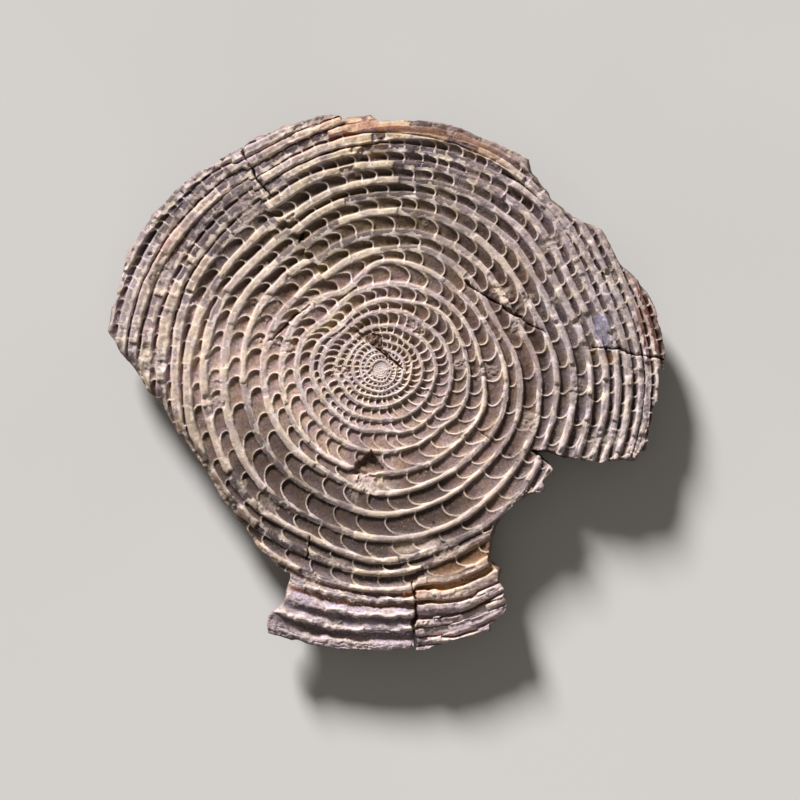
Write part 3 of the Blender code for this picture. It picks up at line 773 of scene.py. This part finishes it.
def close_mesh(obj):
    """Drop the flaps that thinning leaves on shared edges, and close the slits behind them."""
    mesh = bmesh.new()
    mesh.from_mesh(obj.data)
    bmesh.ops.dissolve_degenerate(mesh, edges=mesh.edges[:], dist=0.001 * MM)
    flaps = True
    while flaps:
        flaps = []
        for face in mesh.faces:
            sharing = [len(edge.link_faces) for edge in face.edges]
            if sharing.count(1) > 1 or (1 in sharing and max(sharing) > 2):
                flaps.append(face)
        bmesh.ops.delete(mesh, geom=flaps, context="FACES")
    corners = [vert for vert in mesh.verts if vert.is_boundary]
    bmesh.ops.remove_doubles(mesh, verts=corners, dist=0.004 * MM)
    bmesh.ops.holes_fill(mesh, edges=[edge for edge in mesh.edges if edge.is_boundary], sides=0)
    bmesh.ops.triangulate(mesh, faces=[face for face in mesh.faces if len(face.verts) > 3])
    mesh.to_mesh(obj.data)
    mesh.free()


def sculpt():
    half = relief_block()
    keep_inside(half, rim_prism())
    keep_inside(half, lens_body())
    triangles = sum(face.loop_total - 2 for face in half.data.polygons)
    thinned = half.modifiers.new("thinned", "DECIMATE")
    thinned.ratio = TRIANGLE_LIMIT / triangles
    apply_modifiers(half)
    close_mesh(half)
    half.data.materials.clear()
    half.name = "nummulite"
    half.data.name = "nummulite"
    return half


# ---- colour, worked out at each point

def blob(x, y, cx, cy, rx, ry, turn_degrees, seed):
    """A stain with a ragged edge: 1 inside an ellipse, 0 outside."""
    angle = math.radians(turn_degrees)
    dx = x - cx + 0.35 * min(rx, ry) * fractal(x, y, 0.8, seed)
    dy = y - cy + 0.35 * min(rx, ry) * fractal(x / 0.8 + 9, y / 0.8 + 9, 1, seed + 5)
    u = (dx * math.cos(angle) + dy * math.sin(angle)) / rx
    v = (-dx * math.sin(angle) + dy * math.cos(angle)) / ry
    return fade(0.6, 1.25, np.hypot(u, v))


def srgb(red, green, blue):
    value = np.array([red, green, blue]) / 255
    return np.where(value <= 0.04045, value / 12.92, ((value + 0.055) / 1.055) ** 2.4)


def patch(x, y, span, reach, seed):
    """A ragged patch between two bearings and two radii."""
    degrees = bearing(x, y) + 2.5 * fractal(x, y, 1.2, seed)
    radius = np.hypot(x, y) + 0.35 * fractal(x, y, 1.0, seed + 7)
    return sector(degrees, *span) * window(*reach, 0.2, radius)


CREAM = (160, 137, 130)
BEIGE = (172, 147, 138)
LAVENDER = (156, 139, 142)
OLIVE = (158, 140, 92)
OCHRE = (205, 152, 74)
RED_BROWN = (112, 56, 42)
PINK = (176, 128, 126)
PURPLE_WHITE = (206, 192, 196)
BROWN = (124, 98, 82)
ORANGE = (214, 120, 62)
IVORY = (238, 216, 178)

# polar stains, and patches of painted light and shade: angles, radii in mm, colour, strength
PATCHES = (
    ((225, 310), (6.5, 13.6), (118, 104, 84), 0.55),
    ((228, 285), (7.1, 11.6), OLIVE, 0.35),
    # painted shade: darker over the lower left
    ((60, 168), (6.6, 13.6), (104, 88, 80), 0.7),
    ((55, 110), (4.0, 8.0), BROWN, 0.35),
    ((190, 225), (9.5, 14.5), (124, 106, 98), 0.4),
    # painted light: paler over the left
    ((148, 200), (5.0, 12.5), (210, 186, 174), 0.45),
    ((183, 232), (14.4, 16.8), PINK, 0.5),
    ((178, 252), (16.4, 19.0), (158, 146, 158), 0.6),
    ((165, 225), (14.0, 19.0), (112, 94, 99), 0.55),
    ((256, 276), (15.4, 17.2), (186, 116, 84), 0.85),
    ((276, 306), (15.4, 17.2), (164, 120, 84), 0.85),
    ((240, 262), (15.2, 16.4), PINK, 0.6),
    ((264, 274), (14.1, 15.4), OCHRE, 0.85),
    ((337, 358), (17.0, 19.0), RED_BROWN, 0.9),
    ((320, 338), (16.2, 17.6), (132, 84, 66), 0.6),
    ((83, 113), (15.4, 18.8), PURPLE_WHITE, 0.4),
    ((55, 74), (13.0, 16.2), OCHRE, 0.55),
    ((62, 84), (16.0, 18.8), LAVENDER, 0.6),
    ((300, 345), (12.0, 16.5), LAVENDER, 0.5),
    ((335, 386), (10.5, 17.0), (160, 150, 154), 0.6),
    ((58, 81), (14.0, 14.75), (176, 148, 100), 0.6),
    ((59, 81), (14.75, 15.7), (226, 196, 160), 0.85),
    ((62, 82), (15.7, 18.8), (196, 172, 174), 0.6),
)
# elliptical stains: x, y, half widths in mm, turn in degrees, colour, strength
BLOBS = (
    (2.2, -14.6, 0.9, 0.35, 8, ORANGE, 0.95),
    (4.4, 15.5, 1.2, 0.22, -14, (122, 66, 48), 0.75),
    (3.0, -14.4, 1.3, 0.8, 20, OCHRE, 0.55),
    (14.9, 0.8, 0.5, 0.3, -20, OCHRE, 0.8),
    (2.5, -11.35, 1.9, 0.45, 8, (226, 206, 194), 0.8),
    (-1.55, 9.85, 0.35, 0.22, 0, IVORY, 1.0),
    (14.5, 2.6, 1.3, 0.75, -72, (160, 158, 186), 0.75),
    (13.8, 1.0, 0.4, 0.3, 0, (226, 206, 150), 0.8),
    (9.9, 2.3, 0.9, 1.0, 0, BROWN, 0.7),
    (-0.8, -7.2, 1.4, 0.7, -8, (232, 208, 194), 0.8),
    (-13.8, 8.2, 0.9, 1.5, -30, (206, 160, 140), 0.6),
    (-3.1, 3.4, 2.2, 0.5, 42, (214, 192, 146), 0.45),
)

# regions where chambers or walls get painted shade: angles, strength
FLOOR_PAINTED_SHADE = (((85, 165), 1.0), ((45, 110), 0.96), ((238, 292), 0.82), ((205, 240), 0.92),
              ((290, 345), 0.98), ((310, 405), 1.0))
WALL_PAINTED_SHADE = (((105, 165), 0.9), ((50, 110), 0.12), ((238, 292), 0.95), ((203, 240), 0.72),
             ((290, 335), 0.25), ((335, 395), 0.08))
# bright broken places that get no painted shade: x, y, half widths in mm, turn in degrees
BRIGHT = ((-0.8, -7.2, 1.4, 0.7, -8), (2.3, -11.4, 1.6, 0.5, 8), (14.5, 2.6, 1.2, 0.7, -72))


def lay_on(colour, stain, share):
    """Stain the colours where share is above 0, in place."""
    colour += (stain - colour) * share[:, None]


def tint(x, y, info, rim):
    """Base colour of the stone at each point."""
    radius = np.hypot(x, y)
    wander = radius + 1.6 * fractal(x, y, 3, 81)
    colour = np.zeros((len(x), 3)) + srgb(*CREAM)
    lay_on(colour, srgb(*BEIGE), smooth(4, 9, wander))
    lay_on(colour, srgb(*LAVENDER), smooth(9, 15, wander))
    for number, (span, reach, stain, strength) in enumerate(PATCHES):
        lay_on(colour, srgb(*stain), strength * patch(x, y, span, reach, 200 + 20 * number))
    for number, (*place, stain, strength) in enumerate(BLOBS):
        lay_on(colour, srgb(*stain), strength * blob(x, y, *place, 500 + 20 * number))
    lay_on(colour, srgb(134, 112, 94), 0.85 * trench_share(x, y))
    # painted shade in the pit below the centre
    lay_on(colour, srgb(106, 92, 88), 0.6 * pit_share(x, y))
    lay_on(colour, srgb(122, 108, 118), 0.9 * fade(0.46, 0.56, radius))
    # lower lobe, left of the crack: pale shelves between brown and slate slopes
    shelf = np.where(info["wall_in"] > 0, 1, smooth(0.42, 0.62, info["share"]))
    slate = smooth(15.3, 16.6, radius)[:, None]
    slope = srgb(142, 102, 86) * (1 - slate) + srgb(114, 102, 118) * slate
    lay_on(colour, slope, 0.9 * info["lobe"] * (1 - shelf))
    lay_on(colour, srgb(200, 184, 192), 0.75 * info["lobe"] * shelf * smooth(14.6, 15.6, radius))
    lay_on(colour, srgb(128, 98, 82), 0.8 * rim_bevel(info["degrees"], rim, x, y))
    return colour


def painted_shade_shares(degrees, radius):
    """How much painted shade the chambers, and the walls between the ivory lengths, get in each region."""
    out = smooth(6.0, 9.0, radius)
    floors, walls = [np.max([strength * sector(degrees, *span, 30) for span, strength in table], 0)
                     for table in (FLOOR_PAINTED_SHADE, WALL_PAINTED_SHADE)]
    floors = np.maximum(floors * out, 0.68 * sector(degrees, 310, 405, 30) * smooth(3.5, 5.5, radius))
    return np.maximum(floors, 0.15 * smooth(2.0, 4.0, radius)), walls * out


def vertex_values(mesh, name):
    values = np.empty(len(mesh.vertices) * 3, np.float32)
    mesh.vertices.foreach_get(name, values)
    return values.reshape(-1, 3)


def record_fields(obj):
    """Keep on the mesh what the stone's material needs to know at each point."""
    mesh = obj.data
    x, y, z = (vertex_values(mesh, "co").astype(float) / MM).T
    info = relief(x, y)
    degrees, radius, cap = info["degrees"], info["radius"], info["cap"]
    rim = rim_distance(x, y)
    below = face_height(x, y) - z
    face = fade(0.7, 0.95, below)
    hidden = np.maximum(trench_share(x, y), pit_share(x, y))
    upright = fade(0.25, 0.6, vertex_values(mesh, "normal")[:, 2])
    side = np.maximum(fade(0.15, 0.35, rim) * upright, 1 - face)
    # away from the top and the left the raised lengths are nearly as lavender as the rest
    pale_cap = np.max([sector(degrees, 300, 420, 30) * smooth(9, 12, radius),
                       sector(degrees, 178, 250, 15) * smooth(15.6, 16.6, radius),
                       0.6 * sector(degrees, 100, 165, 20),
                       0.5 * sector(degrees, 140, 222, 20) * smooth(9, 12, radius)], 0)
    outer = smooth(9, 15, radius)
    plain = (1 - info["lobe"]) * (1 - info["bars"])
    grey = outer * (1 - 0.8 * sector(degrees, 300, 410, 25)) * plain
    grey = grey * (1 - 0.45 * sector(degrees, 172, 250, 20) * smooth(13, 15, radius))
    strip = sector(degrees, 335, 359, 4) * smooth(16.8, 17.3, radius)
    # painted shade on chambers and walls, region by region
    floor_painted_shade, wall_painted_shade = painted_shade_shares(degrees, radius)
    # the painted shade on a floor eases towards the next wall, and that wall's near edge is shaded as dark
    # as the floor there
    wall_painted_shade = np.maximum(wall_painted_shade, 0.6 * floor_painted_shade * fade(-1.0, 0.3, info["across"]))
    floor_painted_shade = floor_painted_shade * (1 - 0.4 * smooth(0.45, 1.0, info["share"]))
    for number, place in enumerate(BRIGHT):
        plain = plain * (1 - 0.85 * blob(x, y, *place, 611 + number))
    fields = dict(
        wall=info["wall_in"] - 0.3 * hidden, septum=-info["septum"] - 0.3 * hidden, cap=cap,
        ivory=cap * (1 - 0.72 * pale_cap), sink=below, tone=info["tone"], face=face, side=side,
        worn=damage(x, y, info, rim) * face * (1 - hidden), outer=outer, grey=grey,
        light=(1 - grey) * (1 - strip) * (0.72 + 0.28 * outer),
        floor_painted_shade=floor_painted_shade * plain, wall_painted_shade=wall_painted_shade * plain)
    for name, values in fields.items():
        layer = mesh.attributes.new(name, "FLOAT", "POINT")
        layer.data.foreach_set("value", values.astype(np.float32))
    layer = mesh.attributes.new("tint", "FLOAT_COLOR", "POINT")
    colour = np.column_stack([tint(x, y, info, rim), np.ones(len(x))])
    layer.data.foreach_set("color", colour.astype(np.float32).ravel())


# ---- materials

class Nodes:
    """A new material and short-hand for building its node tree."""

    def __init__(self, name):
        self.material = bpy.data.materials.new(name)
        self.material.use_nodes = True
        self.tree = self.material.node_tree
        self.tree.nodes.clear()

    def add(self, kind, inputs=None, **settings):
        node = self.tree.nodes.new("ShaderNode" + kind)
        for key, value in settings.items():
            setattr(node, key, value)
        for key, value in (inputs or {}).items():
            if isinstance(value, bpy.types.NodeSocket):
                self.tree.links.new(value, node.inputs[key])
            else:
                node.inputs[key].default_value = value
        return node

    def math(self, operation, a, b=0.0):
        return self.add("Math", {0: a, 1: b}, operation=operation).outputs[0]

    def times(self, product, *others):
        for other in others:
            product = self.math("MULTIPLY", product, other)
        return product

    def less(self, value, share=1.0):
        """1 less a share of the value."""
        return self.math("SUBTRACT", 1.0, self.times(value, share))

    def ramp(self, value, low, high, start=0.0, end=1.0):
        inputs = {"Value": value, "From Min": low, "From Max": high, "To Min": start, "To Max": end}
        return self.add("MapRange", inputs, interpolation_type="SMOOTHSTEP").outputs[0]

    def mix(self, share, a, b, blend_type="MIX"):
        node = self.add("Mix", {0: share, 6: a, 7: b}, data_type="RGBA", blend_type=blend_type)
        return node.outputs[2]

    def darken(self, share, colour, *factors):
        """Multiply the colour by three factors, where share is 1."""
        return self.mix(share, colour, (*factors, 1.0), "MULTIPLY")

    def grey(self, value):
        return self.add("CombineColor", {0: value, 1: value, 2: value}).outputs[0]

    def place(self):
        return self.add("TexCoord").outputs["Object"]

    def noise(self, scale_per_mm, detail=4.0, roughness=0.55, where=None):
        where = where or self.place()
        inputs = {"Vector": where, "Scale": scale_per_mm / MM, "Detail": detail, "Roughness": roughness}
        return self.add("TexNoise", inputs).outputs["Fac"]

    def finish(self, inputs):
        """Link the surface to the output, and hand over the material."""
        shader = self.add("BsdfPrincipled", inputs)
        self.add("OutputMaterial", {"Surface": shader.outputs[0]})
        return self.material

    def value(self, name, output="Fac"):
        return self.add("Attribute", attribute_name=name).outputs[output]


def linear(red, green, blue):
    return (*[float(c) for c in srgb(red, green, blue)], 1.0)


def stone_material():
    n = Nodes("fossil_limestone")
    wall, sink, cap, worn, face, outer, floor_painted_shade, wall_painted_shade = [
        n.value(name) for name in ("wall", "sink", "cap", "worn", "face", "outer", "floor_painted_shade", "wall_painted_shade")]
    on_wall = n.ramp(wall, -0.02, 0.03)
    broad = n.ramp(n.noise(0.4, 3), 0.3, 0.7, 0.82, 1.14)
    fine = n.ramp(n.noise(6, 5, 0.75), 0.28, 0.72, 0.58, 1.32)
    shade = n.grey(n.times(broad, fine))
    colour = n.mix(1.0, n.value("tint", "Color"), shade, "MULTIPLY")

    # chamber floors: a browner colour with painted shade, darker the deeper they lie and more in some
    # chambers than others
    deep = n.times(n.ramp(sink, 0.1, 0.34), n.ramp(n.value("tone"), 0, 1, 0.55, 1.0), n.less(worn, 0.8))
    colour = n.darken(deep, colour, 0.6, 0.5, 0.4)
    # painted shade in the chambers, heavier in some regions
    colour = n.darken(n.times(floor_painted_shade, n.less(on_wall)), colour, 0.3, 0.26, 0.24)
    # yellowish and lavender places
    hue = n.ramp(n.noise(0.9, 4, 0.6), 0.38, 0.62)
    colour = n.mix(1.0, colour, n.mix(hue, (1.05, 1.0, 0.86, 1), (0.99, 0.96, 1.06, 1)), "MULTIPLY")
    # ivory lengths of the wall, light ones, and rough grey ones between them
    patchy = n.ramp(n.ramp(n.noise(0.8), 0.35, 0.62), 0, 1, 0.25, 0.85)
    ivory = n.times(on_wall, n.ramp(n.value("ivory"), 0.1, 0.9), patchy, 0.7)
    colour = n.mix(ivory, colour, linear(*IVORY))
    colour = n.mix(n.times(on_wall, n.value("light"), 0.48), colour, linear(220, 204, 204))
    blotch = n.times(n.ramp(n.noise(2.4, 5, 0.75), 0.38, 0.68, 0.0, 0.6), on_wall, outer)
    colour = n.darken(blotch, colour, 0.62, 0.58, 0.58)
    rough = n.times(on_wall, n.less(cap), n.ramp(n.value("grey"), 0, 1, 0.2, 1.0), 0.5)
    colour = n.mix(rough, colour, linear(116, 102, 106))
    # painted shade on the walls between the ivory lengths, heavier in some regions
    colour = n.darken(n.times(wall_painted_shade, on_wall, n.less(cap, 0.85)), colour, 0.26, 0.235, 0.24)
    # pale edges of walls and septa: painted highlight along the walls' edges, and pale calcite with painted
    # highlight on the septa
    rim = n.less(n.ramp(n.math("ABSOLUTE", n.math("SUBTRACT", wall, 0.035)), 0.02, 0.06))
    rim = n.times(rim, n.ramp(n.noise(1.3), 0.36, 0.74, 0.0, 0.6), n.less(wall_painted_shade, 0.5))
    line = n.times(n.ramp(n.value("septum"), -0.036, 0.006), n.less(worn, 0.7),
                   n.ramp(n.noise(0.6, 2), 0.35, 0.6, 0.35, 0.95))
    pale = n.times(n.math("MAXIMUM", rim, line), face, n.ramp(floor_painted_shade, 0, 1, 1.0, 0.72), 0.8)
    colour = n.mix(pale, colour, n.mix(hue, linear(241, 221, 194), linear(242, 226, 218)))
    # sugary calcite specks, worn places, brown dirt, and painted shade deep in the cracks
    speck = n.times(n.ramp(n.noise(7.5, 3, 0.6), 0.56, 0.68), n.ramp(n.noise(0.55, 3), 0.45, 0.6),
                    n.ramp(outer, 0, 1, 0.35, 0.95), n.less(wall_painted_shade, 0.8), n.less(floor_painted_shade, 0.5))
    colour = n.mix(speck, colour, linear(236, 226, 222))
    colour = n.mix(n.times(worn, 0.35), colour, linear(196, 178, 164))
    dirt = n.times(n.ramp(n.noise(1.6, 5, 0.7), 0.56, 0.7), n.ramp(sink, 0.02, 0.3, 0.15, 0.75))
    colour = n.darken(dirt, colour, 0.42, 0.33, 0.26)
    # painted shade: near black where the face lies deepest, in the cracks
    colour = n.mix(n.times(n.ramp(sink, 0.58, 0.85), face), colour, linear(58, 42, 34))
    # the broken rim and the back are brown, in faint beds
    flat = n.add("VectorMath", {0: n.place(), 1: (0.3, 0.3, 3)}, operation="MULTIPLY").outputs[0]
    stone = n.mix(n.ramp(n.noise(1.0, 4, 0.65, flat), 0.35, 0.65), linear(134, 113, 99), linear(94, 76, 64))
    stone = n.mix(1.0, stone, shade, "MULTIPLY")
    colour = n.mix(n.times(n.value("side"), 0.8), colour, stone)

    grain = n.math("ADD", n.times(n.noise(8, 5, 0.75), 0.6), n.noise(2.4, 4, 0.6))
    bump = n.add("Bump", {"Strength": 0.9, "Distance": 0.06 * MM, "Height": grain})
    return n.finish({"Base Color": colour, "Roughness": 0.72, "Specular IOR Level": 0.4,
                     "Normal": bump.outputs[0]})


def floor_material():
    n = Nodes("pale_floor")
    shade = n.ramp(n.noise(0.02, 3), 0.3, 0.7)
    colour = n.mix(shade, linear(198, 197, 194), linear(203, 202, 199))
    return n.finish({"Base Color": colour, "Roughness": 0.9})


# ---- camera, light, floor, mm

IMAGE_PX = 800
MM_PER_PX = 0.065
LENS_MM = 150
SENSOR_MM = 36
VIEW_X = 1.25
VIEW_Y = -1.98
FACE_Z = 3.4
KEY_STRENGTH = 6.95
KEY_BREADTH = 13             # degrees
KEY_DIRECTION = (262, -537, -275)
FILL_WATTS = 0.06
FILL_SIZE = 200
FILL_PLACE = (60, -260, 240)
FLOOR_SIZE = 800
WORLD_STRENGTH = 0.145


def look_down_camera():
    data = bpy.data.cameras.new("camera")
    data.lens = LENS_MM
    data.sensor_width = SENSOR_MM
    data.clip_start = 0.01
    camera = link("camera", data)
    distance = IMAGE_PX * MM_PER_PX * LENS_MM / SENSOR_MM
    camera.location = (VIEW_X * MM, VIEW_Y * MM, (FACE_Z + distance) * MM)
    bpy.context.scene.camera = camera


def lamp(name, kind, energy, colour, direction):
    data = bpy.data.lights.new(name, kind)
    data.energy = energy
    data.color = colour
    obj = link(name, data)
    obj.rotation_euler = Vector(direction).to_track_quat("-Z", "Y").to_euler()
    return obj


def studio():
    bpy.ops.mesh.primitive_plane_add(size=FLOOR_SIZE * MM)
    floor = bpy.context.object
    floor.name = "floor"
    floor.data.materials.append(floor_material())
    key = lamp("key", "SUN", KEY_STRENGTH, (1.0, 0.982, 0.99), KEY_DIRECTION)
    key.data.angle = math.radians(KEY_BREADTH)
    fill = lamp("fill", "AREA", FILL_WATTS, (1.0, 0.95, 0.9), -Vector(FILL_PLACE))
    fill.data.shape = "DISK"
    fill.data.size = FILL_SIZE * MM
    fill.location = Vector(FILL_PLACE) * MM
    world = bpy.data.worlds.new("studio")
    world.use_nodes = True
    background = world.node_tree.nodes["Background"].inputs
    background["Color"].default_value = (1.0, 0.93, 0.86, 1)
    background["Strength"].default_value = WORLD_STRENGTH
    bpy.context.scene.world = world
    bpy.context.scene.view_settings.view_transform = "Standard"


# ---- the scene

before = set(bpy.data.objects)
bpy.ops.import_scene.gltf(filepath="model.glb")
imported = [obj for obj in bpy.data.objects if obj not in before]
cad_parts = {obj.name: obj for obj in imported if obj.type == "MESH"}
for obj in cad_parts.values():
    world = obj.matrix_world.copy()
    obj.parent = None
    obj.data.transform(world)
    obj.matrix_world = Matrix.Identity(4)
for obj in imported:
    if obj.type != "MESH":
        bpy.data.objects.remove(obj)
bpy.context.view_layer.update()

look_down_camera()
studio()
fossil = sculpt()
record_fields(fossil)
fossil.data.materials.append(stone_material())
fossil.data.shade_smooth()
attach(fossil, "root")
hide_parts(NODE)
